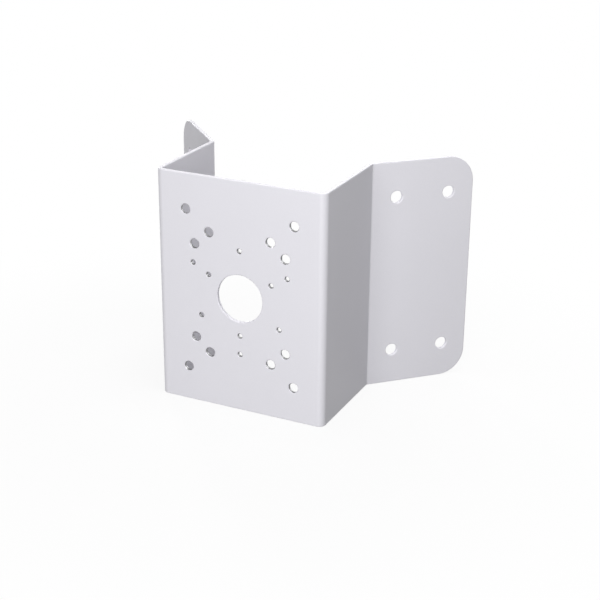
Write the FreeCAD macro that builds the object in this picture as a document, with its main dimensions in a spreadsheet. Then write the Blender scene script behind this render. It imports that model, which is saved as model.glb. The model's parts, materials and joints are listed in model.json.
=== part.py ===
import FreeCAD, Part
import math
import os
import re
import Sketcher

# Camera corner mount bracket: one folded sheet of 3 mm steel, powder coated.
#
# A flat camera plate stands in front. Two webs are folded square from its sides
# and run back, and a wing is folded outwards from the end of each web, so that
# the two wings lie on the two walls of an outside corner of a building, and the
# corner itself stands in the channel between the webs. Screws through the wings
# hold the bracket. The camera plate has tapped hole patterns for camera arms and
# for round camera bases, about one cable hole.
#
# Frame: +Z is up and +X is to the right as one looks at the camera plate, along
# +Y. The origin is on the outer face of the camera plate, on the axis of the
# cable hole, half way up. The plate, webs and wings are measured between mould
# lines: the lines where the outer faces of two folded flats would meet.

NODE = "corner_bracket"

# Driving dimensions, in millimetres and degrees, with what each one measures.
SIZES = {
    # Folded sheet
    "bracket_height": (170.0, "height of the camera plate, webs and wings"),
    "plate_width": (129.0, "width of the camera plate, between its mould lines"),
    "web_depth": (77.5, "outer face of the camera plate to the mould line of a wing"),
    "wing_length": (78.0, "mould line of a wing to the wing's free edge"),
    "wing_fold": (45.0, "angle through which a wing is folded outwards from its web"),
    "sheet_thickness": (3.0, "thickness of the sheet"),
    "bend_radius": (2.0, "radius on the inside of every bend"),
    "wing_corner_radius": (19.5, "rounding of the free corners of a wing"),
    "edge_break": (0.4, "width at which the deburred edges are broken, at 45 degrees"),
    # Wall screws
    "wall_hole": (9.0, "diameter of a wall screw hole"),
    "wall_hole_inset": (19.0, "mould line of a wing to the nearer column of wall screws"),
    "wall_hole_spacing": (40.0, "between the two columns of wall screws"),
    "wall_hole_rise": (118.0, "between the two rows of wall screws"),
    # Camera plate
    "cable_hole": (35.0, "diameter of the cable hole"),
    "arm_screw_drill": (6.8, "tapping drill of the screws that hold a camera arm"),
    "tall_pattern_width": (83.0, "tall arm pattern, across"),
    "tall_pattern_height": (118.5, "tall arm pattern, up"),
    "slim_pattern_width": (47.5, "slim arm pattern, across"),
    "slim_pattern_height": (90.0, "slim arm pattern, up"),
    "square_pattern": (70.0, "square arm pattern, across and up"),
    "base_screw_drill": (3.3, "tapping drill of the screws that hold a round base"),
    "large_base_circle": (84.0, "pitch circle of a large round base"),
    "medium_base_circle": (70.0, "pitch circle of a medium round base"),
    "small_base_circle": (56.0, "pitch circle of a small round base"),
    "countersink": (0.6, "width of the 45 degree countersink of a tapped hole"),
}

SHEET_NAME = "sizes"
BASE_SCREWS = 3
FULL_TURN = 360.0
SQUARE = 90.0
# How near a point must lie to a place to count as there.
TOUCH = 1e-4


def value(name):
    """Return the driving dimension of that name."""
    return SIZES[name][0]


def make_sizes(doc):
    """Write the driving dimensions into a spreadsheet, with aliases."""
    sheet = doc.addObject("Spreadsheet::Sheet", SHEET_NAME)
    for row, (name, (number, meaning)) in enumerate(SIZES.items(), start=1):
        sheet.set(f"A{row}", name)
        sheet.set(f"B{row}", str(number))
        sheet.set(f"C{row}", meaning)
        sheet.setAlias(f"B{row}", name)
    doc.recompute()
    return sheet


def size(expression):
    """Turn an expression in the names of sizes into one that reads the spreadsheet."""
    def locate(word):
        return f"{SHEET_NAME}.{word[0]}" if word[0] in SIZES else word[0]

    return re.sub(r"[a-z_]+", locate, expression)


def origin_feature(body, role):
    """Find a plane or axis of the body's own origin by its role."""
    return next(item for item in body.Origin.OriginFeatures if item.Role == role)


def add_sketch(body, name, plane_role):
    """Add an empty sketch to the body on one of its origin planes."""
    sketch = body.newObject("Sketcher::SketchObject", name)
    sketch.AttachmentSupport = [(origin_feature(body, plane_role), "")]
    sketch.MapMode = "FlatFace"
    return sketch


def dimension(sketch, name, expression, *arguments):
    """Add a dimension to a sketch, under a name, and bind it to the sizes."""
    index = sketch.addConstraint(Sketcher.Constraint(*arguments))
    sketch.renameConstraint(index, name)
    sketch.setExpression(f"Constraints.{name}", size(expression))


# Numbers by which a sketch knows the points of an edge, and its own origin and axis.
START, END, CENTRE = range(1, 4)
ORIGIN, UP_AXIS = range(-1, -3, -1)


def flat_vector(x, y):
    """Make a point of a sketch."""
    return FreeCAD.Vector(x, y, 0.0)


def arc(centre, radius, start_degrees, end_degrees):
    """Make an arc that runs anticlockwise between two directions."""
    circle = Part.Circle(centre, FreeCAD.Vector(0, 0, 1), radius)
    return Part.ArcOfCircle(circle, math.radians(start_degrees), math.radians(end_degrees))


def draw_half_section(body):
    """Draw the section of the folded sheet to the right of the middle, seen from above.

    The first guess of each edge is worked out from the sizes. The constraints then
    hold the section: bends tangent to their flats, both faces of a bend about one
    centre, and every size bound to the spreadsheet.
    """
    half_width = value("plate_width") / 2
    depth = value("web_depth")
    sheet = value("sheet_thickness")
    inner = value("bend_radius")
    outer = inner + sheet
    turn = value("wing_fold")
    setback = inner * math.tan(math.radians(turn) / 2)
    along = flat_vector(math.sin(math.radians(turn)), math.cos(math.radians(turn)))
    across = flat_vector(-along.y, along.x)

    mould_point = flat_vector(half_width, depth)
    plate_bend = flat_vector(half_width - outer, outer)
    wing_bend = flat_vector(half_width + inner, depth - setback)
    wing_start = mould_point + along * setback
    wing_end = mould_point + along * value("wing_length")

    sketch = add_sketch(body, "sheet_section", "XY_Plane")
    edges = {
        "plate_front": Part.LineSegment(flat_vector(0, 0), flat_vector(half_width - outer, 0)),
        "plate_bend_outside": arc(plate_bend, outer, -SQUARE, 0),
        "web_outside": Part.LineSegment(
            flat_vector(half_width, outer), flat_vector(half_width, depth - setback)
        ),
        "wing_bend_inside": arc(wing_bend, inner, 2 * SQUARE - turn, 2 * SQUARE),
        "wing_front": Part.LineSegment(wing_start, wing_end),
        "wing_edge": Part.LineSegment(wing_end, wing_end + across * sheet),
        "wing_back": Part.LineSegment(wing_end + across * sheet, wing_start + across * sheet),
        "wing_bend_outside": arc(wing_bend, outer, 2 * SQUARE - turn, 2 * SQUARE),
        "web_inside": Part.LineSegment(
            flat_vector(half_width - sheet, depth - setback), flat_vector(half_width - sheet, outer)
        ),
        "plate_bend_inside": arc(plate_bend, inner, -SQUARE, 0),
        "plate_back": Part.LineSegment(flat_vector(half_width - outer, sheet), flat_vector(0, sheet)),
        "middle": Part.LineSegment(flat_vector(0, sheet), flat_vector(0, 0)),
    }
    edge = {name: sketch.addGeometry(shape, False) for name, shape in edges.items()}
    mould = sketch.addGeometry(Part.Point(mould_point), True)

    def hold(*arguments):
        sketch.addConstraint(Sketcher.Constraint(*arguments))

    hold("Coincident", edge["plate_front"], START, ORIGIN, START)
    hold("Horizontal", edge["plate_front"])
    hold("Tangent", edge["plate_front"], END, edge["plate_bend_outside"], START)
    hold("Tangent", edge["plate_bend_outside"], END, edge["web_outside"], START)
    hold("Vertical", edge["web_outside"])
    hold("Tangent", edge["web_outside"], END, edge["wing_bend_inside"], END)
    hold("Tangent", edge["wing_bend_inside"], START, edge["wing_front"], START)
    hold("Coincident", edge["wing_front"], END, edge["wing_edge"], START)
    hold("Perpendicular", edge["wing_front"], edge["wing_edge"])
    hold("Coincident", edge["wing_edge"], END, edge["wing_back"], START)
    hold("Parallel", edge["wing_back"], edge["wing_front"])
    hold("Tangent", edge["wing_back"], END, edge["wing_bend_outside"], START)
    hold("Tangent", edge["wing_bend_outside"], END, edge["web_inside"], START)
    hold("Tangent", edge["web_inside"], END, edge["plate_bend_inside"], END)
    hold("Tangent", edge["plate_bend_inside"], START, edge["plate_back"], START)
    hold("Horizontal", edge["plate_back"])
    hold("Coincident", edge["plate_back"], END, edge["middle"], START)
    hold("PointOnObject", edge["plate_back"], END, UP_AXIS)
    hold("Coincident", edge["middle"], END, edge["plate_front"], START)
    hold("Coincident", edge["plate_bend_inside"], CENTRE, edge["plate_bend_outside"], CENTRE)
    hold("Coincident", edge["wing_bend_inside"], CENTRE, edge["wing_bend_outside"], CENTRE)
    hold("Parallel", edge["web_inside"], edge["web_outside"])
    hold("PointOnObject", mould, START, edge["web_outside"])
    hold("PointOnObject", mould, START, edge["wing_front"])

    dimension(sketch, "sheet", "sheet_thickness", "Distance", edge["middle"], sheet)
    dimension(sketch, "plate_bend", "bend_radius", "Radius", edge["plate_bend_inside"], inner)
    dimension(sketch, "wing_bend", "bend_radius", "Radius", edge["wing_bend_inside"], inner)
    dimension(sketch, "half_width", "plate_width / 2",
              "DistanceX", ORIGIN, START, mould, START, half_width)
    dimension(sketch, "depth", "web_depth", "DistanceY", ORIGIN, START, mould, START, depth)
    dimension(sketch, "wing", "wing_length",
              "Distance", mould, START, edge["wing_front"], END, value("wing_length"))
    dimension(sketch, "lean", "90 - wing_fold",
              "Angle", edge["wing_front"], math.radians(SQUARE - turn))
    return sketch


def pad_half(body, section):
    """Raise the half section by half the height above and below the origin."""
    pad = body.newObject("PartDesign::Pad", "half_sheet")
    pad.Profile = section
    pad.SideType = "Symmetric"
    pad.setExpression("Length", size("bracket_height"))
    return pad


def edge_names(shape, wanted):
    """List the names of the edges of a shape that a test accepts."""
    return [f"Edge{number}" for number, edge in enumerate(shape.Edges, start=1) if wanted(edge)]


def wing_edge_middle():
    """Return how far to the side the middle of a wing's free edge lies."""
    turn = math.radians(value("wing_fold"))
    along_wing = value("wing_length") * math.sin(turn)
    into_sheet = value("sheet_thickness") / 2 * math.cos(turn)
    return value("plate_width") / 2 + along_wing - into_sheet


def round_wing_corners(body, base):
    """Round the two free corners of the wing, through the sheet."""
    half_height = value("bracket_height") / 2

    def is_free_corner(edge):
        middle = edge.CenterOfMass
        at_edge = abs(middle.x - wing_edge_middle()) < TOUCH
        return at_edge and abs(abs(middle.z) - half_height) < TOUCH

    fillet = body.newObject("PartDesign::Fillet", "wing_corners")
    fillet.Base = (base, edge_names(base.Shape, is_free_corner))
    fillet.setExpression("Radius", size("wing_corner_radius"))
    return fillet


def drill(body, name, sketch, diameter):
    """Drill through the sheet at every circle of a sketch on its front face."""
    hole = body.newObject("PartDesign::Hole", name)
    hole.Profile = sketch
    hole.DepthType = "ThroughAll"
    hole.DrillPoint = "Flat"
    hole.setExpression("Diameter", size(diameter))
    return hole


def draw_rectangle_of_holes(sketch, width, height, diameter):
    """Draw four circles on the corners of a rectangle about the sketch's origin.

    Width, height and diameter are names of sizes.
    """
    half_width = value(width) / 2
    half_height = value(height) / 2
    corners = [
        flat_vector(-half_width, -half_height),
        flat_vector(half_width, -half_height),
        flat_vector(half_width, half_height),
        flat_vector(-half_width, half_height),
    ]
    sides = []
    for start, end in zip(corners, corners[1:] + corners[:1]):
        sides.append(sketch.addGeometry(Part.LineSegment(start, end), True))
    for side, following in zip(sides, sides[1:] + sides[:1]):
        sketch.addConstraint(Sketcher.Constraint("Coincident", side, END, following, START))
    for side in (sides[0], sides[2]):
        sketch.addConstraint(Sketcher.Constraint("Horizontal", side))
    for side in (sides[1], sides[3]):
        sketch.addConstraint(Sketcher.Constraint("Vertical", side))
    sketch.addConstraint(
        Sketcher.Constraint("Symmetric", sides[0], START, sides[2], START, ORIGIN, START)
    )
    dimension(sketch, "width", width, "Distance", sides[0], value(width))
    dimension(sketch, "height", height, "Distance", sides[1], value(height))

    up = FreeCAD.Vector(0, 0, 1)
    circles = [
        sketch.addGeometry(Part.Circle(corner, up, value(diameter) / 2), False)
        for corner in corners
    ]
    for circle, side in zip(circles, sides):
        sketch.addConstraint(Sketcher.Constraint("Coincident", circle, CENTRE, side, START))
    for circle in circles[1:]:
        sketch.addConstraint(Sketcher.Constraint("Equal", circles[0], circle))
    dimension(sketch, "diameter", diameter, "Diameter", circles[0], value(diameter))


def drill_wall_holes(body):
    """Drill the four wall screw holes of the wing, square to its front face.

    The sketch lies on the front face. Its origin is the centre of the pattern, half
    way up, and its first axis runs along the wing.
    """
    sketch = add_sketch(body, "wall_hole_layout", "XZ_Plane")
    upright = FreeCAD.Vector(0, 1, 0)
    lean = SQUARE - value("wing_fold")
    sketch.AttachmentOffset = FreeCAD.Placement(
        FreeCAD.Vector(), FreeCAD.Rotation(upright, lean)
    )
    centre = "(wall_hole_inset + wall_hole_spacing / 2)"
    sketch.setExpression("AttachmentOffset.Rotation.Angle", size("90 - wing_fold"))
    sketch.setExpression(
        "AttachmentOffset.Base.x",
        size(f"plate_width / 2 + {centre} * sin(wing_fold * 1deg)"),
    )
    sketch.setExpression(
        "AttachmentOffset.Base.z",
        size(f"-web_depth - {centre} * cos(wing_fold * 1deg)"),
    )
    draw_rectangle_of_holes(sketch, "wall_hole_spacing", "wall_hole_rise", "wall_hole")
    return drill(body, "wall_holes", sketch, "wall_hole")


def mirror_half(body):
    """Mirror the right half of the bracket to the left."""
    mirrored = body.newObject("PartDesign::Mirrored", "whole_sheet")
    mirrored.TransformMode = "Whole shape"
    mirrored.MirrorPlane = (origin_feature(body, "YZ_Plane"), [""])
    body.Tip = mirrored
    return mirrored


def drill_cable_hole(body):
    """Cut the cable hole in the middle of the camera plate."""
    sketch = add_sketch(body, "cable_hole_outline", "XZ_Plane")
    up = FreeCAD.Vector(0, 0, 1)
    circle = sketch.addGeometry(Part.Circle(flat_vector(0, 0), up, value("cable_hole") / 2), False)
    sketch.addConstraint(Sketcher.Constraint("Coincident", circle, CENTRE, ORIGIN, START))
    dimension(sketch, "diameter", "cable_hole", "Diameter", circle, value("cable_hole"))
    return drill(body, "cable_opening", sketch, "cable_hole")


def drill_arm_pattern(body, name, width, height):
    """Drill one four-screw pattern for a camera arm, ready for tapping."""
    sketch = add_sketch(body, f"{name}_layout", "XZ_Plane")
    draw_rectangle_of_holes(sketch, width, height, "arm_screw_drill")
    return drill(body, f"{name}_holes", sketch, "arm_screw_drill")


def drill_base_pattern(body, name, circle_name, side):
    """Drill one three-screw circle for a round camera base, ready for tapping.

    One hole is drawn on the pitch circle, straight above the middle where the side
    is 1 or below it where the side is -1, and a polar pattern about the cable
    hole's axis repeats it.
    """
    doc = body.Document
    radius = value(circle_name) / 2
    sketch = add_sketch(body, f"{name}_layout", "XZ_Plane")
    up = FreeCAD.Vector(0, 0, 1)
    hole_circle = Part.Circle(flat_vector(0, side * radius), up, value("base_screw_drill") / 2)
    circle = sketch.addGeometry(hole_circle, False)
    sketch.addConstraint(Sketcher.Constraint("PointOnObject", circle, CENTRE, UP_AXIS))
    ends = (ORIGIN, START, circle, CENTRE) if side > 0 else (circle, CENTRE, ORIGIN, START)
    dimension(sketch, "pitch_radius", f"{circle_name} / 2", "DistanceY", *ends, radius)
    dimension(sketch, "diameter", "base_screw_drill",
              "Diameter", circle, value("base_screw_drill"))
    hole = drill(body, f"{name}_hole", sketch, "base_screw_drill")
    doc.recompute()

    pattern = body.newObject("PartDesign::PolarPattern", f"{name}_holes")
    pattern.Originals = [hole]
    pattern.Axis = (origin_feature(body, "Y_Axis"), [""])
    pattern.Angle = FULL_TURN
    pattern.Occurrences = BASE_SCREWS
    body.Tip = pattern
    return pattern


def break_sheet_edges(body, base):
    """Break the edges of the sheet's outline, the cable hole and the wall holes.

    An edge counts where a face of the sheet meets a face that was cut through it.
    """
    half_height = value("bracket_height") / 2
    round_cuts = (value("cable_hole") / 2, value("wall_hole") / 2, value("wing_corner_radius"))

    def is_cut_face(face):
        if isinstance(face.Surface, Part.Cylinder):
            level = abs(face.Surface.Axis.z) < TOUCH
            return level and any(abs(face.Surface.Radius - cut) < TOUCH for cut in round_cuts)
        middle = face.CenterOfMass
        at_end = abs(abs(middle.z) - half_height) < TOUCH
        at_wing_edge = abs(abs(middle.x) - wing_edge_middle()) < TOUCH
        return at_end or at_wing_edge

    cut_faces = [face for face in base.Shape.Faces if is_cut_face(face)]

    def is_outline(edge):
        return sum(any(edge.isSame(other) for other in face.Edges) for face in cut_faces) == 1

    chamfer = body.newObject("PartDesign::Chamfer", "broken_edges")
    chamfer.Base = (base, edge_names(base.Shape, is_outline))
    chamfer.setExpression("Size", size("edge_break"))
    return chamfer


def countersink_tapped_holes(body, base):
    """Countersink the tapped holes of the camera plate on both faces."""
    radii = (value("arm_screw_drill") / 2, value("base_screw_drill") / 2)

    def is_tapped_rim(edge):
        curve = edge.Curve
        return isinstance(curve, Part.Circle) and any(
            abs(curve.Radius - radius) < TOUCH for radius in radii
        )

    chamfer = body.newObject("PartDesign::Chamfer", "countersinks")
    chamfer.Base = (base, edge_names(base.Shape, is_tapped_rim))
    chamfer.setExpression("Size", size("countersink"))
    return chamfer


def make_bracket(doc):
    """Build the whole bracket as one body."""
    body = doc.addObject("PartDesign::Body", NODE)
    body.Label = NODE

    section = draw_half_section(body)
    pad = pad_half(body, section)
    doc.recompute()
    round_wing_corners(body, pad)
    doc.recompute()
    drill_wall_holes(body)
    doc.recompute()
    mirror_half(body)
    doc.recompute()

    drill_cable_hole(body)
    doc.recompute()
    break_sheet_edges(body, body.Tip)
    doc.recompute()
    drill_arm_pattern(body, "tall_arm", "tall_pattern_width", "tall_pattern_height")
    doc.recompute()
    drill_arm_pattern(body, "slim_arm", "slim_pattern_width", "slim_pattern_height")
    doc.recompute()
    drill_arm_pattern(body, "square_arm", "square_pattern", "square_pattern")
    doc.recompute()
    for name, circle_name, side in (
        ("large_base", "large_base_circle", -1),
        ("medium_base", "medium_base_circle", 1),
        ("small_base", "small_base_circle", -1),
    ):
        drill_base_pattern(body, name, circle_name, side)
        doc.recompute()
    countersink_tapped_holes(body, body.Tip)
    doc.recompute()
    return body


def check(doc, body):
    """Stop if any object of the document failed or the bracket is not one sound solid."""
    for item in doc.Objects:
        if "Invalid" in item.State or "Error" in item.State:
            raise RuntimeError(f"{item.Name} failed: {item.State}")
    shape = body.Shape
    if shape.isNull() or not shape.isValid() or len(shape.Solids) != 1:
        raise RuntimeError(f"{body.Label} is not one valid solid")


def main():
    """Build the bracket and write its solid."""
    doc = FreeCAD.newDocument("camera_corner_bracket")
    make_sizes(doc)
    bracket = make_bracket(doc)
    doc.recompute()
    check(doc, bracket)
    os.makedirs("parts", exist_ok=True)
    bracket.Shape.exportStep(f"parts/{bracket.Label}.step")
    box = bracket.Shape.BoundBox
    print(f"{bracket.Label}: {box.XLength:.1f} x {box.YLength:.1f} x {box.ZLength:.1f} mm, "
          f"{bracket.Shape.Volume / 1000:.1f} cm3")


main()
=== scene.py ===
"""Looks of a camera corner mount bracket.

The bracket is one blank of 3 mm steel sheet, laser cut, tapped, folded and powder
coated. The scene makes it in the same order: the flat blank with its broken and
softened edges, the threads in its tapped holes, the four folds, and the coat.
"""

import json
import logging
import math
from dataclasses import dataclass, field
from enum import Enum
from typing import Iterable, Optional, Sequence, Union

import bmesh
import bpy
from mathutils import Matrix, Vector
from mathutils.geometry import delaunay_2d_cdt

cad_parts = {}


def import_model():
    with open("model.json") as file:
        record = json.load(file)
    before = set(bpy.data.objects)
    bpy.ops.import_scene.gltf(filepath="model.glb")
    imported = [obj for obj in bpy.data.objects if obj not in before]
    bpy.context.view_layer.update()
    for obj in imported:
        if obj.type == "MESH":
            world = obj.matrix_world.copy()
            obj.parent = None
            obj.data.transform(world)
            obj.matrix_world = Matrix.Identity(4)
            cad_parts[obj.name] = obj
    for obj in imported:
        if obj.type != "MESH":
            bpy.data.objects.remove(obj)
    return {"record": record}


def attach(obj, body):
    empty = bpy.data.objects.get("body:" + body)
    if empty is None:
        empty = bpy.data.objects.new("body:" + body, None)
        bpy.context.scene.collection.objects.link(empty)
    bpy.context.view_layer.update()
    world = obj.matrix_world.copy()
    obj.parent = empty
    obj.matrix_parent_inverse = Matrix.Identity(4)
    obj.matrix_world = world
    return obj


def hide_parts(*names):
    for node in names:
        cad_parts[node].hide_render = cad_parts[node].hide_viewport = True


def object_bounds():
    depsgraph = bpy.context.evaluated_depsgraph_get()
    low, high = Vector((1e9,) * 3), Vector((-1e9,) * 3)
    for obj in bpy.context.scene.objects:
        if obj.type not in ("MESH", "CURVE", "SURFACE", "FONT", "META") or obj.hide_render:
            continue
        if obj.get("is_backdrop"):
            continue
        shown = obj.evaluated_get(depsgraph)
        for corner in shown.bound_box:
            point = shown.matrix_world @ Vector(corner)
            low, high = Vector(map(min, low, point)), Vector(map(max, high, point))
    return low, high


MM = 0.001
NODE = "corner_bracket"
BODY = "root"
PIECE = "coated_sheet"

# Points nearer to each other than this are one.
WELD = 0.0005 * MM
# Slope of the broken edges and the countersinks.
CHAMFER = math.pi / 4
# A metric thread: slope of its flanks, and the flat at its root as a share of the pitch.
THREAD_FLANK = math.radians(30)
THREAD_FLAT = 1 / 8

Number = Union[float, int, bpy.types.NodeSocket]
Value = Union[Number, Sequence[float], bpy.types.Material]
log = logging.getLogger("corner_bracket")


def placed(name: str, data: bpy.types.ID) -> bpy.types.Object:
    """Put an object into the scene.

    Args:
        name: Its name.
        data: The mesh, lamp or camera that it shows.

    Returns:
        The object.
    """
    made = bpy.data.objects.new(name, data)
    bpy.context.scene.collection.objects.link(made)
    return made


class FirstHole(Enum):
    """Where the first hole of a pitch circle stands, in degrees from +X to +Z."""

    ABOVE = 90.0
    BELOW = -90.0


class Face(Enum):
    """The two faces of the sheet."""

    FRONT = 0
    BACK = 1


class Wiring:
    """Adds nodes to a node tree and joins them, so that a formula reads as calls."""

    def __init__(self, tree: bpy.types.NodeTree) -> None:
        """Keep the node tree that nodes are added to."""
        self.tree = tree

    def node(self, kind: str, *values: Value, **settings: object) -> bpy.types.Node:
        """Add a node, set its properties and feed its first inputs.

        Args:
            kind: The node's type name.
            values: What to feed its inputs with, in their order.
            settings: Properties of the node and their values.

        Returns:
            The new node.
        """
        node = self.tree.nodes.new(kind)
        for name, setting in settings.items():
            setattr(node, name, setting)
        for socket, value in zip(node.inputs, values):
            self.feed(socket, value)
        return node

    def feed(self, socket: bpy.types.NodeSocket, value: Value) -> None:
        """Give an input socket a plain value, or link it to an output socket.

        Args:
            socket: The input.
            value: A plain value or an output socket.
        """
        if isinstance(value, bpy.types.NodeSocket):
            self.tree.links.new(value, socket)
        else:
            socket.default_value = value

    def math(self, operation: str, *values: Number) -> bpy.types.NodeSocket:
        """Return the result of an operation on one value or more."""
        return self.node("ShaderNodeMath", *values, operation=operation).outputs[0]

    def clamp(self, value: Number, low: Number, high: Number) -> bpy.types.NodeSocket:
        """Hold a value between the least and the most that it may be."""
        return self.math("MINIMUM", self.math("MAXIMUM", value, low), high)

    def total(self, *values: Number) -> bpy.types.NodeSocket:
        """Add several values.

        Args:
            values: Two values or more.

        Returns:
            Their sum.
        """
        result = values[0]
        for value in values[1:]:
            result = self.math("ADD", result, value)
        return result

    def split(self, vector: bpy.types.NodeSocket) -> Sequence[bpy.types.NodeSocket]:
        """Return the X, Y and Z of a vector."""
        return self.node("ShaderNodeSeparateXYZ", vector).outputs

    def join(self, x: Number, y: Number, z: Number) -> bpy.types.NodeSocket:
        """Return the vector of three numbers."""
        return self.node("ShaderNodeCombineXYZ", x, y, z).outputs[0]

    def mix(self, share: Number, first: bpy.types.Node, second: bpy.types.Node) -> bpy.types.Node:
        """Mix two shaders, of which the first shows alone at 0 and the second at 1."""
        return self.node("ShaderNodeMixShader", share, first.outputs[0], second.outputs[0])

    def looked_at(self) -> bpy.types.NodeSocket:
        """Tell rays that show a surface from rays that it lights the bracket by.

        Returns:
            1 for camera, glossy and transmission rays, otherwise 0.
        """
        rays = self.node("ShaderNodeLightPath").outputs
        seen = self.math("MAXIMUM", rays["Is Camera Ray"], rays["Is Glossy Ray"])
        return self.math("MAXIMUM", seen, rays["Is Transmission Ray"])


class GeometryTree:
    """A Geometry Nodes tree with named inputs, which changes an object into a plain mesh."""

    def __init__(self, name: str, sizes: dict[str, Union[float, int]]) -> None:
        """Make the tree with its sockets.

        Args:
            name: The tree's name.
            sizes: The named inputs and their values. A whole number gives an integer input.
        """
        self.tree = bpy.data.node_groups.new(name, "GeometryNodeTree")
        self.sizes = sizes
        self.wiring = Wiring(self.tree)
        interface = self.tree.interface
        interface.new_socket("Geometry", in_out="INPUT", socket_type="NodeSocketGeometry")
        for label, value in sizes.items():
            kind = "NodeSocketInt" if isinstance(value, int) else "NodeSocketFloat"
            interface.new_socket(label, in_out="INPUT", socket_type=kind)
        interface.new_socket("Material", in_out="INPUT", socket_type="NodeSocketMaterial")
        interface.new_socket("Geometry", in_out="OUTPUT", socket_type="NodeSocketGeometry")
        self.inputs = self.wiring.node("NodeGroupInput").outputs

    def finish(
        self, geometry: bpy.types.NodeSocket, but_for: Optional[bpy.types.Material] = None
    ) -> None:
        """End the tree: instances are made real and the material is set.

        Args:
            geometry: The geometry to put out.
            but_for: A material whose faces keep it.
        """
        wire = self.wiring
        realize = wire.node("GeometryNodeRealizeInstances", geometry)
        dress = wire.node("GeometryNodeSetMaterial", realize.outputs["Geometry"])
        wire.feed(dress.inputs["Material"], self.inputs["Material"])
        if but_for is not None:
            kept = wire.node("GeometryNodeMaterialSelection", but_for)
            others = wire.math("SUBTRACT", 1.0, kept.outputs["Selection"])
            wire.feed(dress.inputs["Selection"], others)
        wire.node("NodeGroupOutput", dress.outputs["Geometry"])

    def apply(self, mesh: bpy.types.Mesh, material: bpy.types.Material) -> bpy.types.Mesh:
        """Run the tree on a mesh.

        Args:
            mesh: The mesh that goes in.
            material: The material to set.

        Returns:
            The mesh that comes out, with no modifier.
        """
        carrier = placed(self.tree.name, mesh)
        modifier = carrier.modifiers.new(self.tree.name, "NODES")
        modifier.node_group = self.tree
        values = dict(self.sizes, Material=material)
        for item in self.tree.interface.items_tree:
            if item.in_out == "INPUT" and item.name in values:
                modifier[item.identifier] = values[item.name]
        depsgraph = bpy.context.evaluated_depsgraph_get()
        result = bpy.data.meshes.new_from_object(
            carrier.evaluated_get(depsgraph), depsgraph=depsgraph
        )
        bpy.data.objects.remove(carrier)
        return result


@dataclass(frozen=True)
class OrangePeel:
    """The fine unevenness of a powder coat, as a shader node group.

    Attributes:
        cell: Width of one swell of the peel, in metres.
        height: How far the swells rise, in metres.
        tint: How much the colour varies, as a share.
        gloss: How much the roughness varies.
        swell_detail: Octaves of the swells.
        swell_roughness: How strong their finer octaves are.
        cloud_scale: Scale of the broad unevenness, as a share of that of the swells.
        cloud_detail: Octaves of the broad unevenness.
    """

    cell: float = 1.4 * MM
    height: float = 0.003 * MM
    tint: float = 0.012
    gloss: float = 0.05
    swell_detail: float = 2.0
    swell_roughness: float = 0.45
    cloud_scale: float = 0.04
    cloud_detail: float = 3.0

    def group(self) -> bpy.types.NodeTree:
        """Make the group.

        Returns:
            A node group that puts out Colour, Roughness and Height.
        """
        tree = bpy.data.node_groups.new("orange_peel", "ShaderNodeTree")
        for way, labels in (("INPUT", ("Roughness", "Cell")), ("OUTPUT", ("Roughness", "Height"))):
            tree.interface.new_socket("Colour", in_out=way, socket_type="NodeSocketColor")
            for label in labels:
                tree.interface.new_socket(label, in_out=way, socket_type="NodeSocketFloat")
        wiring = Wiring(tree)
        given = wiring.node("NodeGroupInput").outputs
        put_out = wiring.node("NodeGroupOutput").inputs
        place = wiring.node("ShaderNodeTexCoord").outputs["Object"]
        scale = wiring.math("DIVIDE", 1.0, given["Cell"])

        swells = wiring.node("ShaderNodeTexNoise")
        wiring.feed(swells.inputs["Vector"], place)
        wiring.feed(swells.inputs["Scale"], scale)
        wiring.feed(swells.inputs["Detail"], self.swell_detail)
        wiring.feed(swells.inputs["Roughness"], self.swell_roughness)

        cloud = wiring.node("ShaderNodeTexNoise")
        wiring.feed(cloud.inputs["Vector"], place)
        wiring.feed(cloud.inputs["Scale"], wiring.math("MULTIPLY", scale, self.cloud_scale))
        wiring.feed(cloud.inputs["Detail"], self.cloud_detail)

        both = wiring.math("ADD", swells.outputs[0], cloud.outputs[0])
        swing = wiring.math("SUBTRACT", both, 1.0)
        shade = wiring.math("ADD", 1.0, wiring.math("MULTIPLY", swing, self.tint * 2))
        colour = wiring.node("ShaderNodeVectorMath", given["Colour"], operation="SCALE")
        wiring.feed(colour.inputs["Scale"], shade)
        wiring.feed(put_out["Colour"], colour.outputs[0])
        rough = wiring.math("MULTIPLY", swing, self.gloss * 2)
        wiring.feed(put_out["Roughness"], wiring.math("ADD", given["Roughness"], rough))
        wiring.feed(put_out["Height"], swells.outputs[0])
        return tree


@dataclass(frozen=True)
class PowderCoat:
    """The satin light grey powder coat of the bracket.

    Attributes:
        colour: Its colour, linear.
        roughness: Its mean roughness.
        peel: The unevenness of its surface.
    """

    colour: tuple[float, float, float] = (0.780, 0.771, 0.820)
    roughness: float = 0.46
    peel: OrangePeel = field(default_factory=OrangePeel)

    def material(self) -> bpy.types.Material:
        """Make the material.

        Returns:
            The powder coat.
        """
        material = bpy.data.materials.new("powder_coat")
        material.use_nodes = True
        tree = material.node_tree
        wiring = Wiring(tree)
        coat = tree.nodes["Principled BSDF"]
        peel = wiring.node("ShaderNodeGroup", node_tree=self.peel.group())
        wiring.feed(peel.inputs["Colour"], (*self.colour, 1.0))
        wiring.feed(peel.inputs["Roughness"], self.roughness)
        wiring.feed(peel.inputs["Cell"], self.peel.cell)
        bump = wiring.node("ShaderNodeBump")
        wiring.feed(bump.inputs["Strength"], 1.0)
        wiring.feed(bump.inputs["Distance"], self.peel.height)
        wiring.feed(bump.inputs["Height"], peel.outputs["Height"])
        wiring.feed(coat.inputs["Base Color"], peel.outputs["Colour"])
        wiring.feed(coat.inputs["Roughness"], peel.outputs["Roughness"])
        wiring.feed(coat.inputs["Normal"], bump.outputs["Normal"])
        return material


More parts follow.
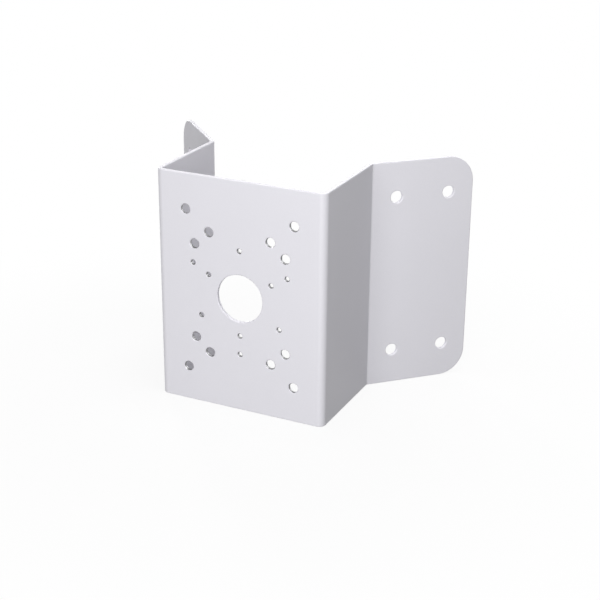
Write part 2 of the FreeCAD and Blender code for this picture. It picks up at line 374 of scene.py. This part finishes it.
@dataclass(frozen=True)
class CutSteel:
    """The bare steel of the threads, which plugs keep the coat out of.

    Attributes:
        colour: Its colour, linear.
        roughness: Its roughness.
    """

    colour: tuple[float, float, float] = (0.20, 0.20, 0.205)
    roughness: float = 0.30

    def material(self) -> bpy.types.Material:
        """Make the material.

        Returns:
            The bare steel.
        """
        material = bpy.data.materials.new("cut_steel")
        material.use_nodes = True
        steel = material.node_tree.nodes["Principled BSDF"]
        steel.inputs["Base Color"].default_value = (*self.colour, 1.0)
        steel.inputs["Metallic"].default_value = 1.0
        steel.inputs["Roughness"].default_value = self.roughness
        return material


@dataclass(frozen=True)
class Finishes:
    """The bracket's two finishes.

    Attributes:
        coat: The powder coat, on all but the tapped holes.
        steel: The bare steel of the threads.
    """

    coat: bpy.types.Material
    steel: bpy.types.Material


@dataclass(frozen=True)
class Station:
    """A point of a cut line in the flat blank.

    Attributes:
        place: The point, as distance to the side and height.
        outwards: The direction square to the cut line, away from the sheet.
    """

    place: Vector
    outwards: Vector


@dataclass
class TappedHoles:
    """Tapped holes of one thread in the sheet, countersunk on both faces.

    Attributes:
        thread: Nominal diameter of the thread.
        pitch: Pitch of the thread.
        drill: Diameter of the tapping drill.
        countersink: Width of the 45 degree countersinks.
        coat_reach: How far the coat reaches into a hole from either face.
        segments: Corners of each hole's circle.
        seed: Turns the start of each hole's thread.
        centres: The holes' centres in the blank.
        softness: Rounding of the countersinks' edges under the coat.
        rim_steps: Faces round that rounding.
        rows_per_turn: Rows of the wall's faces in one turn of the thread.
        spare_turns: Turns of the wall beyond those that the sheet's thickness takes.
    """

    thread: float
    pitch: float
    drill: float
    countersink: float
    coat_reach: float
    segments: int
    seed: int
    centres: list[Vector] = field(default_factory=list)
    softness: float = 0.2 * MM
    rim_steps: int = 3
    rows_per_turn: int = 6
    spare_turns: int = 2

    def rim(self) -> float:
        """Return the radius of the countersink at the sheet's face."""
        return self.drill / 2 + self.countersink

    def rim_inset(self) -> float:
        """Return how deep the softened edge of the countersink reaches."""
        return self.softness * math.tan(CHAMFER / 2) * math.sqrt(0.5)

    def groove_share(self, radius: float) -> float:
        """Return half the groove's width at a radius, as a share of the pitch."""
        flank = (self.thread / 2 - radius) * math.tan(THREAD_FLANK)
        return THREAD_FLAT / 2 + flank / self.pitch

    def tree(self, sheet: float) -> GeometryTree:
        """Make the tree that puts a threaded wall at each point.

        The wall is a grid with one way round the hole and the other along the
        thread's groove, so that its edges follow the helix. Rows past the
        countersinks fold back onto the rims.

        Args:
            sheet: Thickness of the sheet.

        Returns:
            The tree.
        """
        rim = self.rim() - self.rim_inset()
        root = min(self.thread / 2, rim)
        made = GeometryTree(
            f"tapped_wall_{self.pitch / MM:.2f}",
            {
                "Pitch": self.pitch,
                "Drill Radius": self.drill / 2,
                "Root Radius": root,
                "Root Share": self.groove_share(root),
                "Mouth Share": self.groove_share(self.drill / 2),
                "Rim Radius": rim,
                "Rim Depth": self.rim_inset(),
                "Sheet": sheet,
                "Segments": self.segments,
                "Seed": self.seed,
            },
        )
        wire, given = made.wiring, made.inputs
        turns = wire.math("CEIL", wire.math("DIVIDE", given["Sheet"], given["Pitch"]))
        turns = wire.math("ADD", turns, self.spare_turns)
        rows = wire.math("MULTIPLY", turns, self.rows_per_turn)

        wide = wire.math("ADD", given["Segments"], 1)
        high = wire.math("ADD", rows, 1)
        grid = wire.node("GeometryNodeMeshGrid", given["Segments"], rows, wide, high)
        spot = wire.split(wire.node("GeometryNodeInputPosition").outputs[0])
        half_round = wire.math("DIVIDE", given["Segments"], 2)
        column = wire.math("ROUND", wire.math("ADD", spot[0], half_round))
        half_rows = wire.math("DIVIDE", rows, 2)
        row = wire.math("ROUND", wire.math("ADD", spot[1], half_rows))

        around = wire.math("DIVIDE", column, given["Segments"])
        turn = wire.math("FLOOR", wire.math("DIVIDE", row, self.rows_per_turn))
        step = wire.math("SUBTRACT", row, wire.math("MULTIPLY", turn, self.rows_per_turn))
        from_middle = wire.math("SUBTRACT", step, (self.rows_per_turn - 1) / 2)
        past_root = wire.math("SUBTRACT", wire.math("ABSOLUTE", from_middle), 0.5)
        reach = wire.math("DIVIDE", past_root, self.rows_per_turn / 2 - 1)

        share_gain = wire.math("SUBTRACT", given["Mouth Share"], given["Root Share"])
        share = wire.math("MULTIPLY_ADD", reach, share_gain, given["Root Share"])
        share = wire.math("MULTIPLY", share, wire.math("SIGN", from_middle))
        climb = wire.math("SUBTRACT", wire.math("ADD", turn, share), around)
        deep_end = wire.math("SUBTRACT", given["Sheet"], given["Rim Depth"])
        depth = wire.math("MULTIPLY", climb, given["Pitch"])
        depth = wire.clamp(depth, given["Rim Depth"], deep_end)

        groove_depth = wire.math("SUBTRACT", given["Drill Radius"], given["Root Radius"])
        radius = wire.math("MULTIPLY_ADD", reach, groove_depth, given["Root Radius"])
        from_front = wire.math("SUBTRACT", depth, given["Rim Depth"])
        from_back = wire.math("SUBTRACT", deep_end, depth)
        nearest = wire.math("MINIMUM", from_front, from_back)
        cone = wire.math("SUBTRACT", given["Rim Radius"], nearest)
        radius = wire.math("MAXIMUM", radius, cone)

        angle = wire.math("MULTIPLY", around, math.tau)
        shape = wire.node("GeometryNodeSetPosition", grid.outputs["Mesh"])
        across = wire.math("MULTIPLY", radius, wire.math("COSINE", angle))
        upwards = wire.math("MULTIPLY", radius, wire.math("SINE", angle))
        wire.feed(shape.inputs["Position"], wire.join(across, depth, upwards))
        close = wire.node("GeometryNodeMergeByDistance", shape.outputs["Geometry"])
        wire.feed(close.inputs["Distance"], WELD)

        # The whole-number sockets go by place, because those of other types share their names.
        start = wire.node("FunctionNodeRandomValue", data_type="INT")
        least, most, drawn = start.inputs[4], start.inputs[5], start.outputs[2]
        wire.feed(least, 0)
        wire.feed(most, wire.math("SUBTRACT", given["Segments"], 1))
        wire.feed(start.inputs["Seed"], given["Seed"])
        step_angle = wire.math("DIVIDE", math.tau, given["Segments"])
        twist = wire.math("MULTIPLY", drawn, step_angle)
        place = wire.node("GeometryNodeInstanceOnPoints", given["Geometry"])
        wire.feed(place.inputs["Instance"], close.outputs["Geometry"])
        wire.feed(place.inputs["Rotation"], wire.join(0.0, twist, 0.0))
        made.finish(place.outputs["Instances"])
        return made

    def walls(self, sheet: float, steel: bpy.types.Material) -> bpy.types.Mesh:
        """Make the threaded walls of all the holes.

        Args:
            sheet: Thickness of the sheet.
            steel: Their finish.

        Returns:
            One mesh with every wall.
        """
        points = bpy.data.meshes.new("tapped_hole_centres")
        points.from_pydata([(centre.x, 0.0, centre.y) for centre in self.centres], [], [])
        return self.tree(sheet).apply(points, steel)


@dataclass
class FoldedSheet:
    """The bracket's sheet, cut flat and then folded.

    In the flat blank, X is the distance along the sheet from the middle of the
    camera plate, Y the depth into the sheet from its front face, and Z the height.

    Attributes:
        height: Height of the sheet.
        plate_width: Width of the camera plate between its mould lines.
        web_depth: Front face to the mould line of a wing.
        wing_length: Mould line of a wing to its free edge.
        wing_fold: Angle of the wing's fold.
        thickness: Thickness of the sheet.
        bend_radius: Inside radius of the folds.
        corner_radius: Rounding of the wings' free corners.
        edge_break: Width of the broken edges, off each face and off the cut.
        edge_softness: Rounding of the broken edges under the coat.
        cable_hole: Diameter of the cable hole.
        wall_hole: Diameter of a wall screw hole.
        wall_hole_inset: Mould line of a wing to the nearer column of wall holes.
        wall_hole_spacing: Between the columns of wall holes.
        wall_hole_rise: Between the rows of wall holes.
        support: Width of the strip of flat faces beside every cut edge.
        fold_guard: Width of the strip of flat faces beside every fold.
        crease: Angle between two faces from which their edge shows sharp.
        plate_bend_steps: Faces round each fold of the camera plate.
        wing_bend_steps: Faces round each fold of a wing.
        corner_steps: Faces round each free corner.
        edge_steps: Faces round each softening of a plain cut's edges.
        cable_hole_segments: Corners of the cable hole's circle.
        wall_hole_segments: Corners of each wall hole's circle.
        tapped: The tapped holes of the camera plate.
        vertices: The vertices of the blank, as they are made.
        faces: The faces of the blank, as they are made.
    """

    height: float = 170.0 * MM
    plate_width: float = 129.0 * MM
    web_depth: float = 77.5 * MM
    wing_length: float = 78.0 * MM
    wing_fold: float = math.radians(45)
    thickness: float = 3.0 * MM
    bend_radius: float = 2.0 * MM
    corner_radius: float = 19.5 * MM
    edge_break: float = 0.4 * MM
    edge_softness: float = 0.2 * MM
    cable_hole: float = 35.0 * MM
    wall_hole: float = 9.0 * MM
    wall_hole_inset: float = 19.0 * MM
    wall_hole_spacing: float = 40.0 * MM
    wall_hole_rise: float = 118.0 * MM
    support: float = 0.5 * MM
    fold_guard: float = 1.0 * MM
    crease: float = math.radians(32)
    plate_bend_steps: int = 20
    wing_bend_steps: int = 12
    corner_steps: int = 24
    edge_steps: int = 2
    cable_hole_segments: int = 128
    wall_hole_segments: int = 64
    tapped: list[TappedHoles] = field(default_factory=list)
    vertices: list[tuple[float, float, float]] = field(default_factory=list)
    faces: list[tuple[int, ...]] = field(default_factory=list)

    def middle_radius(self) -> float:
        """Return the radius of the folds half way through the sheet."""
        return self.bend_radius + self.thickness / 2

    def setback(self) -> float:
        """Return how far a wing's fold reaches from its mould line."""
        return self.bend_radius * math.tan(self.wing_fold / 2)

    def plate_flat(self) -> float:
        """Return half the flat width of the camera plate."""
        return self.plate_width / 2 - self.bend_radius - self.thickness

    def web_start(self) -> float:
        """Return where the web's flat starts in the blank."""
        return self.plate_flat() + self.middle_radius() * math.pi / 2

    def web_flat(self) -> float:
        """Return the flat length of the web."""
        return self.web_depth - self.setback() - self.bend_radius - self.thickness

    def wing_bend_start(self) -> float:
        """Return where the wing's fold starts in the blank."""
        return self.web_start() + self.web_flat()

    def wing_start(self) -> float:
        """Return where the wing's flat starts in the blank."""
        return self.wing_bend_start() + self.middle_radius() * self.wing_fold

    def half_length(self) -> float:
        """Return half the length of the blank."""
        return self.wing_start() + self.wing_length - self.setback()

    def fold_lines(self) -> list[float]:
        """Find where the blank needs an edge across it, so that it can bend.

        Returns:
            The distances from the middle, in rising order.
        """
        stretches = (
            (self.plate_flat(), self.web_start(), self.plate_bend_steps),
            (self.wing_bend_start(), self.wing_start(), self.wing_bend_steps),
        )
        lines = []
        for start, end, steps in stretches:
            lines.append(start - self.fold_guard)
            lines += [start + (end - start) * step / steps for step in range(steps + 1)]
            lines.append(end + self.fold_guard)
        return lines

    def free_corner(self, centre: Vector, start: float) -> list[Station]:
        """Follow the cut line round a free corner, anticlockwise.

        Args:
            centre: The centre of the corner's rounding.
            start: The direction in which it starts from there, in degrees.

        Returns:
            The stations of the corner.
        """
        stations = []
        for step in range(self.corner_steps + 1):
            angle = math.radians(start + 90.0 * step / self.corner_steps)
            outwards = Vector((math.cos(angle), math.sin(angle)))
            stations.append(Station(centre + outwards * self.corner_radius, outwards))
        return stations

    def outline(self) -> list[Station]:
        """Follow the cut line round the blank, anticlockwise from its lower right.

        Returns:
            The stations of the outline.
        """
        half_height = self.height / 2
        corner_x = self.half_length() - self.corner_radius
        corner_z = half_height - self.corner_radius
        lines = [0.0, *self.fold_lines()]
        across = sorted({-line for line in lines} | set(lines))
        up, down = Vector((0, 1)), Vector((0, -1))
        bottom = [Station(Vector((x, -half_height)), down) for x in across]
        top = [Station(Vector((x, half_height)), up) for x in reversed(across)]
        return [
            *self.free_corner(Vector((corner_x, -corner_z)), -90),
            *self.free_corner(Vector((corner_x, corner_z)), 0),
            *top,
            *self.free_corner(Vector((-corner_x, corner_z)), 90),
            *self.free_corner(Vector((-corner_x, -corner_z)), 180),
            *bottom,
        ]

    @staticmethod
    def circle(centre: Vector, radius: float, segments: int) -> list[Station]:
        """Follow the cut line of a round hole.

        Args:
            centre: The hole's centre in the blank.
            radius: Its radius.
            segments: Its number of corners.

        Returns:
            The stations of the hole.
        """
        stations = []
        for step in range(segments):
            angle = math.tau * step / segments
            away = Vector((math.cos(angle), math.sin(angle)))
            stations.append(Station(centre + away * radius, -away))
        return stations

    def wall_holes(self) -> list[Vector]:
        """Lay out the wall screw holes of both wings.

        Returns:
            Their centres in the blank.
        """
        first = self.wing_start() - self.setback() + self.wall_hole_inset
        rise = self.wall_hole_rise / 2
        columns = (first, first + self.wall_hole_spacing)
        return [Vector((side * x, z)) for side in (-1, 1) for x in columns for z in (-rise, rise)]

    def ring(self, stations: Iterable[Station], inset: float, depth: float) -> list[int]:
        """Add a ring of vertices that follows a cut line.

        Args:
            stations: The cut line.
            inset: How far the ring lies from the cut line, into the sheet.
            depth: How far it lies behind the front face.

        Returns:
            The numbers of its vertices.
        """
        first = len(self.vertices)
        for station in stations:
            place = station.place - station.outwards * inset
            self.vertices.append((place.x, depth, place.y))
        return list(range(first, len(self.vertices)))

    def band(self, rings: Sequence[Sequence[int]]) -> None:
        """Add the faces between rings that follow each other.

        Args:
            rings: The rings, each with the same number of vertices.
        """
        for ring, following in zip(rings, rings[1:]):
            count = len(ring)
            for place in range(count):
                beyond = (place + 1) % count
                corners = (ring[place], ring[beyond], following[beyond], following[place])
                self.faces.append(corners)

    @staticmethod
    def soft_corner(radius: float, turn: float, steps: int) -> list[tuple[float, float]]:
        """Return a softened corner, from the sheet's face into the cut.

        Args:
            radius: Radius of the softening.
            turn: Angle from the face to the wall of the cut.
            steps: Number of faces round it.

        Returns:
            Points as inset from the corner and depth.
        """
        reach = radius * math.tan(turn / 2)
        points = []
        for step in range(steps + 1):
            angle = turn * step / steps
            points.append((reach - radius * math.sin(angle), radius * (1 - math.cos(angle))))
        return points

    def plain_cut(self, stations: list[Station]) -> tuple[list[int], list[int]]:
        """Add the wall of a plain cut, with its edges broken and softened.

        Args:
            stations: The cut line.

        Returns:
            Its outermost rings on the front and on the back face.
        """
        bend = self.soft_corner(self.edge_softness, CHAMFER, self.edge_steps)
        corner = [(self.edge_break + inset, depth) for inset, depth in bend]
        corner += [(depth, inset) for inset, depth in reversed(corner)]
        profile = [(corner[0][0] + self.support, 0.0), *corner]
        profile += [(inset, self.thickness - depth) for inset, depth in reversed(profile)]
        rings = [self.ring(stations, inset, depth) for inset, depth in profile]
        self.band(rings)
        return rings[0], rings[-1]

    def tapped_cut(self, centre: Vector, hole: TappedHoles) -> tuple[list[int], list[int]]:
        """Add the softened rims of a tapped hole, on both faces.

        Args:
            centre: The hole's centre in the blank.
            hole: The holes that it is one of.

        Returns:
            Its outermost rings on the front and on the back face.
        """
        stations = self.circle(centre, hole.rim(), hole.segments)
        corner = self.soft_corner(hole.softness, CHAMFER, hole.rim_steps)
        profile = [(corner[0][0] + self.support, 0.0), *corner]
        front = [self.ring(stations, inset, depth) for inset, depth in profile]
        back = [self.ring(stations, inset, self.thickness - depth) for inset, depth in profile]
        self.band(front)
        self.band(back)
        return front[0], back[0]

    def flat_face(self, outline: list[int], holes: list[list[int]]) -> list[tuple[int, ...]]:
        """Fill one face of the blank between its outline and its holes.

        Args:
            outline: The outline's ring.
            holes: The holes' rings.

        Returns:
            The face's triangles.
        """
        numbers = [*outline, *(number for ring in holes for number in ring)]
        local = {number: place for place, number in enumerate(numbers)}
        points = [Vector((self.vertices[n][0], self.vertices[n][2])) for n in numbers]
        edges = []
        for ring in (outline, *holes):
            edges += [(local[a], local[b]) for a, b in zip(ring, [*ring[1:], ring[0]])]
        columns: dict[float, list[int]] = {}
        digits = 4
        lines = {round(line / MM, digits) for line in self.fold_lines()}
        for number in outline:
            distance = round(self.vertices[number][0] / MM, digits)
            if abs(distance) in lines:
                columns.setdefault(distance, []).append(local[number])
        edges += [tuple(column) for column in columns.values()]
        whole_hull, tolerance = 0, 1e-9
        filled = delaunay_2d_cdt(points, edges, [], whole_hull, tolerance, True)
        found, origins = filled[2:4]
        sources = [numbers[origin[0]] for origin in origins]
        cut_by = {number: place for place, ring in enumerate(holes) for number in ring}
        triangles = []
        for triangle in found:
            corners = tuple(sources[corner] for corner in triangle)
            cuts = {cut_by.get(corner) for corner in corners}
            if len(cuts) > 1 or None in cuts:
                triangles.append(corners)
        return triangles

    def blank(self, finishes: Finishes) -> bpy.types.Mesh:
        """Make the flat blank, with its cut edges and threads.

        Args:
            finishes: The bracket's finishes.

        Returns:
            The closed mesh of the blank.
        """
        rings = [self.plain_cut(self.outline())]
        cable_hole = self.circle(Vector((0, 0)), self.cable_hole / 2, self.cable_hole_segments)
        rings.append(self.plain_cut(cable_hole))
        for centre in self.wall_holes():
            wall_hole = self.circle(centre, self.wall_hole / 2, self.wall_hole_segments)
            rings.append(self.plain_cut(wall_hole))
        for holes in self.tapped:
            rings += [self.tapped_cut(centre, holes) for centre in holes.centres]
        for face in Face:
            outline, *cuts = [pair[face.value] for pair in rings]
            self.faces += self.flat_face(outline, cuts)
        mesh = bpy.data.meshes.new("blank")
        mesh.from_pydata(self.vertices, [], self.faces)

        shell = bmesh.new()
        shell.from_mesh(mesh)
        for holes in self.tapped:
            sheet_faces = len(shell.faces)
            shell.from_mesh(holes.walls(self.thickness, finishes.steel))
            shell.faces.ensure_lookup_table()
            for face in shell.faces[sheet_faces:]:
                depth = face.calc_center_median().y
                bare = holes.coat_reach < depth < self.thickness - holes.coat_reach
                face.material_index = int(bare)
        bmesh.ops.remove_doubles(shell, verts=shell.verts, dist=WELD)
        bmesh.ops.recalc_face_normals(shell, faces=shell.faces)
        open_edges = sum(not edge.is_manifold for edge in shell.edges)
        if open_edges:
            raise RuntimeError(f"the blank has {open_edges} open edges")
        shell.to_mesh(mesh)
        shell.free()
        mesh.materials.append(finishes.coat)
        mesh.materials.append(finishes.steel)
        return mesh

    def fold_tree(self, steel: bpy.types.Material) -> GeometryTree:
        """Make the tree that folds the blank.

        A point's distance along the sheet is shared out between the plate, its
        bend, the web, the wing's bend and the wing. The two bends give the
        direction in which the sheet runs there, and its depth is laid off square
        to that.

        Args:
            steel: The finish of the tapped holes, which they keep.

        Returns:
            The tree.
        """
        made = GeometryTree(
            "folded_sheet",
            {
                "Plate Flat": self.plate_flat(),
                "Web Flat": self.web_flat(),
                "Wing Fold": self.wing_fold,
                "Bend Radius": self.bend_radius,
                "Sheet": self.thickness,
            },
        )
        wire, given = made.wiring, made.inputs
        outer = wire.math("ADD", given["Bend Radius"], given["Sheet"])
        middle = wire.math("MULTIPLY_ADD", given["Sheet"], 0.5, given["Bend Radius"])
        along, depth, height = wire.split(wire.node("GeometryNodeInputPosition").outputs[0])
        side = wire.math("SIGN", along)
        run = wire.math("ABSOLUTE", along)

        plate = wire.math("MINIMUM", run, given["Plate Flat"])
        run = wire.math("SUBTRACT", run, plate)
        square = math.pi / 2
        plate_turn = wire.math("MINIMUM", wire.math("DIVIDE", run, middle), square)
        run = wire.math("SUBTRACT", run, wire.math("MULTIPLY", plate_turn, middle))
        web = wire.math("MINIMUM", run, given["Web Flat"])
        run = wire.math("SUBTRACT", run, web)
        wing_turn = wire.math("MINIMUM", wire.math("DIVIDE", run, middle), given["Wing Fold"])
        wing = wire.math("SUBTRACT", run, wire.math("MULTIPLY", wing_turn, middle))

        heading = wire.math("SUBTRACT", plate_turn, wing_turn)
        wing_sine = wire.math("SINE", wing_turn)
        wing_cosine = wire.math("COSINE", wing_turn)
        inner_rise = wire.math("SUBTRACT", 1.0, wing_cosine)
        outer_rise = wire.math("SUBTRACT", 1.0, wire.math("COSINE", plate_turn))
        sideways = wire.total(
            plate,
            wire.math("MULTIPLY", outer, wire.math("SINE", plate_turn)),
            wire.math("MULTIPLY", given["Bend Radius"], inner_rise),
            wire.math("MULTIPLY", wing, wing_sine),
            wire.math("MULTIPLY", depth, wire.math("MULTIPLY", wire.math("SINE", heading), -1.0)),
        )
        back = wire.total(
            wire.math("MULTIPLY", outer, outer_rise),
            web,
            wire.math("MULTIPLY", given["Bend Radius"], wing_sine),
            wire.math("MULTIPLY", wing, wing_cosine),
            wire.math("MULTIPLY", depth, wire.math("COSINE", heading)),
        )
        fold = wire.node("GeometryNodeSetPosition", given["Geometry"])
        place = wire.join(wire.math("MULTIPLY", sideways, side), back, height)
        wire.feed(fold.inputs["Position"], place)
        made.finish(fold.outputs["Geometry"], steel)
        return made

    def build(self, finishes: Finishes) -> bpy.types.Object:
        """Make the finished bracket.

        Args:
            finishes: Its finishes.

        Returns:
            The piece, not yet joined to the frame.
        """
        mesh = self.fold_tree(finishes.steel).apply(self.blank(finishes), finishes.coat)
        mesh.name = PIECE
        shell = bmesh.new()
        shell.from_mesh(mesh)
        bmesh.ops.recalc_face_normals(shell, faces=shell.faces)
        for face in shell.faces:
            face.smooth = True
        for edge in shell.edges:
            edge.smooth = edge.calc_face_angle(0.0) < self.crease
        shell.to_mesh(mesh)
        shell.free()
        return placed(PIECE, mesh)


@dataclass
class PhotoCamera:
    """The camera at the photograph's viewing angle.

    Attributes:
        target: The point that it circles, in millimetres.
        azimuth: Its direction round the bracket, in degrees.
        elevation: Its height above the horizon, in degrees.
        roll: Its turn about its own axis, in degrees.
        distance: Its distance in millimetres.
        slide: How far it stands to its right and upwards of the line to the target.
        focal: Focal length in pixels of the photograph's width.
        width: The photograph's width in pixels.
        sensor: Width of the camera's sensor in millimetres.
        clip_start: The nearest that it sees, in metres.
        clip_end: The furthest that it sees, in metres.
    """

    target: tuple[float, float, float] = (0.0, 40.0, 0.0)
    azimuth: float = 25.502
    elevation: float = 22.247
    roll: float = 0.492
    distance: float = 988.55
    slide: tuple[float, float] = (24.394, -14.122)
    focal: float = 1384.98
    width: float = 600.0
    sensor: float = 36.0
    clip_start: float = 0.01
    clip_end: float = 50.0

    def build(self) -> None:
        """Make the camera and let the scene look through it."""
        angles = (self.azimuth, self.elevation, self.roll)
        azimuth, elevation, roll = (math.radians(angle) for angle in angles)
        back = Vector(
            (
                math.sin(azimuth) * math.cos(elevation),
                -math.cos(azimuth) * math.cos(elevation),
                math.sin(elevation),
            )
        )
        level = Vector((math.cos(azimuth), math.sin(azimuth), 0.0))
        upright = back.cross(level)
        right = math.cos(roll) * level + math.sin(roll) * upright
        up = -math.sin(roll) * level + math.cos(roll) * upright
        place = Vector(self.target) + back * self.distance
        place += right * self.slide[0] + up * self.slide[1]
        data = bpy.data.cameras.new("photo_camera")
        data.sensor_width = self.sensor
        data.lens = self.focal / self.width * self.sensor
        data.clip_start = self.clip_start
        data.clip_end = self.clip_end
        camera = placed("photo_camera", data)
        turn = Matrix((right, up, back)).transposed().to_4x4()
        camera.matrix_world = Matrix.Translation(place * MM) @ turn
        bpy.context.scene.camera = camera


@dataclass(frozen=True)
class SoftBox:
    """A studio lamp with a soft square face.

    Attributes:
        name: Its name.
        place: Where it stands, in metres.
        width: The width of its face.
        watts: Its power.
        aim: The point that it faces.
    """

    name: str
    place: tuple[float, float, float]
    width: float
    watts: float
    aim: tuple[float, float, float] = (0.0, 0.05, 0.0)

    def build(self) -> None:
        """Make the lamp."""
        data = bpy.data.lights.new(self.name, "AREA")
        data.shape = "SQUARE"
        data.size = self.width
        data.energy = self.watts
        lamp = placed(self.name, data)
        back = Vector(self.place) - Vector(self.aim)
        turn = back.to_track_quat("Z", "Y").to_matrix().to_4x4()
        lamp.matrix_world = Matrix.Translation(self.place) @ turn
        lamp.visible_camera = False


def grey(level: float) -> tuple[float, float, float, float]:
    """Return an opaque grey, linear."""
    return (level, level, level, 1.0)


@dataclass
class Studio:
    """A pale floor, a white background and soft light.

    Attributes:
        base_level: Height of the bracket's lower cut edge.
        floor_gap: How far the floor lies below it, so that the two share no plane.
        floor_half: Half the width of the floor.
        floor_colour: What the floor sends back onto the bracket.
        pale: The floor's colour to the eye, before it fades to white.
        shadow: How strongly the floor shows the bracket's shadow.
        fade_start: Distance from the middle up to which the shadow is at its strongest.
        fade_end: Distance from which the floor is plain white.
        ambient: Light of the surroundings on the bracket.
        lamps: The soft boxes.
    """

    base_level: float
    floor_gap: float = 0.05 * MM
    floor_half: float = 4.0
    floor_colour: float = 0.24
    pale: float = 0.9
    shadow: float = 0.14
    fade_start: float = 0.12
    fade_end: float = 0.40
    ambient: float = 0.10
    lamps: tuple[SoftBox, ...] = (
        SoftBox("front_light", (0.20, -1.20, 0.25), 0.7, 12.1),
        SoftBox("side_light", (0.35, -0.15, 0.45), 0.3, 0.70),
        SoftBox("top_light", (0.10, 0.0, 1.30), 0.7, 7.8),
        SoftBox("rear_light", (-0.25, 1.30, 0.40), 0.8, 6.0),
        SoftBox("left_light", (-0.98, 1.02, 0.30), 0.3, 6.5),
    )

    def world(self) -> None:
        """Make the surroundings: white to the eye and in reflections, soft light otherwise."""
        world = bpy.data.worlds.new("studio")
        world.use_nodes = True
        tree = world.node_tree
        tree.nodes.clear()
        wire = Wiring(tree)
        dim = wire.node("ShaderNodeBackground", grey(1.0), self.ambient)
        white = wire.node("ShaderNodeBackground", grey(1.0), 1.0)
        look = wire.mix(wire.looked_at(), dim, white)
        wire.node("ShaderNodeOutputWorld", look.outputs[0])
        bpy.context.scene.world = world

    def floor_finish(self) -> bpy.types.Material:
        """Make the floor's finish: pale, with the bracket's shadow, and white further off.

        From below the floor is clear, so that the underside of the bracket shows.

        Returns:
            The material.
        """
        material = bpy.data.materials.new("studio_floor")
        material.use_nodes = True
        tree = material.node_tree
        tree.nodes.clear()
        wire = Wiring(tree)
        paint = wire.node("ShaderNodeBsdfDiffuse", grey(self.floor_colour))
        pale = wire.node("ShaderNodeBsdfDiffuse", grey(self.pale))
        white = wire.node("ShaderNodeEmission", grey(1.0), 1.0)
        place = wire.node("ShaderNodeTexCoord").outputs["Object"]
        distance = wire.node("ShaderNodeVectorMath", place, operation="LENGTH")
        fade = wire.node("ShaderNodeMapRange", interpolation_type="SMOOTHSTEP")
        wire.feed(fade.inputs["Value"], distance.outputs["Value"])
        wire.feed(fade.inputs["From Min"], self.fade_start)
        wire.feed(fade.inputs["From Max"], self.fade_end)
        wire.feed(fade.inputs["To Min"], 1.0 - self.shadow)
        wire.feed(fade.inputs["To Max"], 1.0)
        look = wire.mix(fade.outputs["Result"], pale, white)
        from_above = wire.mix(wire.looked_at(), paint, look)
        clear = wire.node("ShaderNodeBsdfTransparent")
        backfacing = wire.node("ShaderNodeNewGeometry").outputs["Backfacing"]
        one_way = wire.mix(backfacing, from_above, clear)
        wire.node("ShaderNodeOutputMaterial", one_way.outputs[0])
        return material

    def build(self) -> None:
        """Make the floor, the lamps and the world."""
        half = self.floor_half
        level = self.base_level - self.floor_gap
        mesh = bpy.data.meshes.new("floor")
        corners = ((-half, -half), (half, -half), (half, half), (-half, half))
        mesh.from_pydata([(x, y, level) for x, y in corners], [], [(0, 1, 2, 3)])
        mesh.materials.append(self.floor_finish())
        floor = placed("floor", mesh)
        floor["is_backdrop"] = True
        for lamp in self.lamps:
            lamp.build()
        self.world()


def holes_on_rectangle(mount: dict) -> list[Vector]:
    """Lay out a rectangular hole pattern on the camera plate.

    Args:
        mount: The pattern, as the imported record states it.

    Returns:
        The holes' centres.
    """
    across = mount["dims"]["spacing_x_mm"] * MM / 2
    upwards = mount["dims"]["spacing_y_mm"] * MM / 2
    return [Vector((x, z)) for x in (-across, across) for z in (-upwards, upwards)]


def holes_on_circle(mount: dict, first: FirstHole) -> list[Vector]:
    """Space holes evenly on a pitch circle of the camera plate.

    Args:
        mount: The pattern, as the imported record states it.
        first: Where the first hole stands.

    Returns:
        The holes' centres.
    """
    radius = mount["dims"]["pcd_mm"] * MM / 2
    count = mount["dims"]["count"]
    angles = [math.radians(first.value + 360.0 * step / count) for step in range(count)]
    return [Vector((math.cos(angle), math.sin(angle))) * radius for angle in angles]


def tapped_holes(record: dict) -> list[TappedHoles]:
    """Lay out the tapped holes of the camera plate.

    Args:
        record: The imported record.

    Returns:
        The holes for camera arms and those for round camera bases.
    """
    mounts = {mount["name"]: mount for mount in record["mounts"]}
    arm = TappedHoles(
        thread=8.0 * MM,
        pitch=1.25 * MM,
        drill=6.8 * MM,
        countersink=0.6 * MM,
        coat_reach=0.55 * MM,
        segments=64,
        seed=3,
    )
    for name in ("tall_arm_pattern", "slim_arm_pattern", "square_arm_pattern"):
        arm.centres += holes_on_rectangle(mounts[name])
    base = TappedHoles(
        thread=4.0 * MM,
        pitch=0.7 * MM,
        drill=3.3 * MM,
        countersink=0.6 * MM,
        coat_reach=0.30 * MM,
        segments=48,
        seed=5,
    )
    base.centres += holes_on_circle(mounts["large_base_circle"], FirstHole.BELOW)
    base.centres += holes_on_circle(mounts["medium_base_circle"], FirstHole.ABOVE)
    base.centres += holes_on_circle(mounts["small_base_circle"], FirstHole.BELOW)
    return [arm, base]


def main() -> None:
    """Build the bracket, its studio and the camera."""
    logging.basicConfig(level=logging.INFO, format="%(message)s")
    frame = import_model()
    solid_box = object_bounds()
    scene = bpy.context.scene
    scene.view_settings.view_transform = "Standard"

    finishes = Finishes(PowderCoat().material(), CutSteel().material())
    sheet = FoldedSheet(tapped=tapped_holes(frame["record"]))
    piece = sheet.build(finishes)
    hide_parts(NODE)
    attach(piece, BODY)
    mesh = piece.data
    log.info("%s: %d vertices, %d faces", piece.name, len(mesh.vertices), len(mesh.polygons))

    PhotoCamera().build()
    studio = Studio(base_level=solid_box[0].z)
    studio.build()
    log.info("studio: %d lamps", len(studio.lamps))


if __name__ == "__main__":
    main()
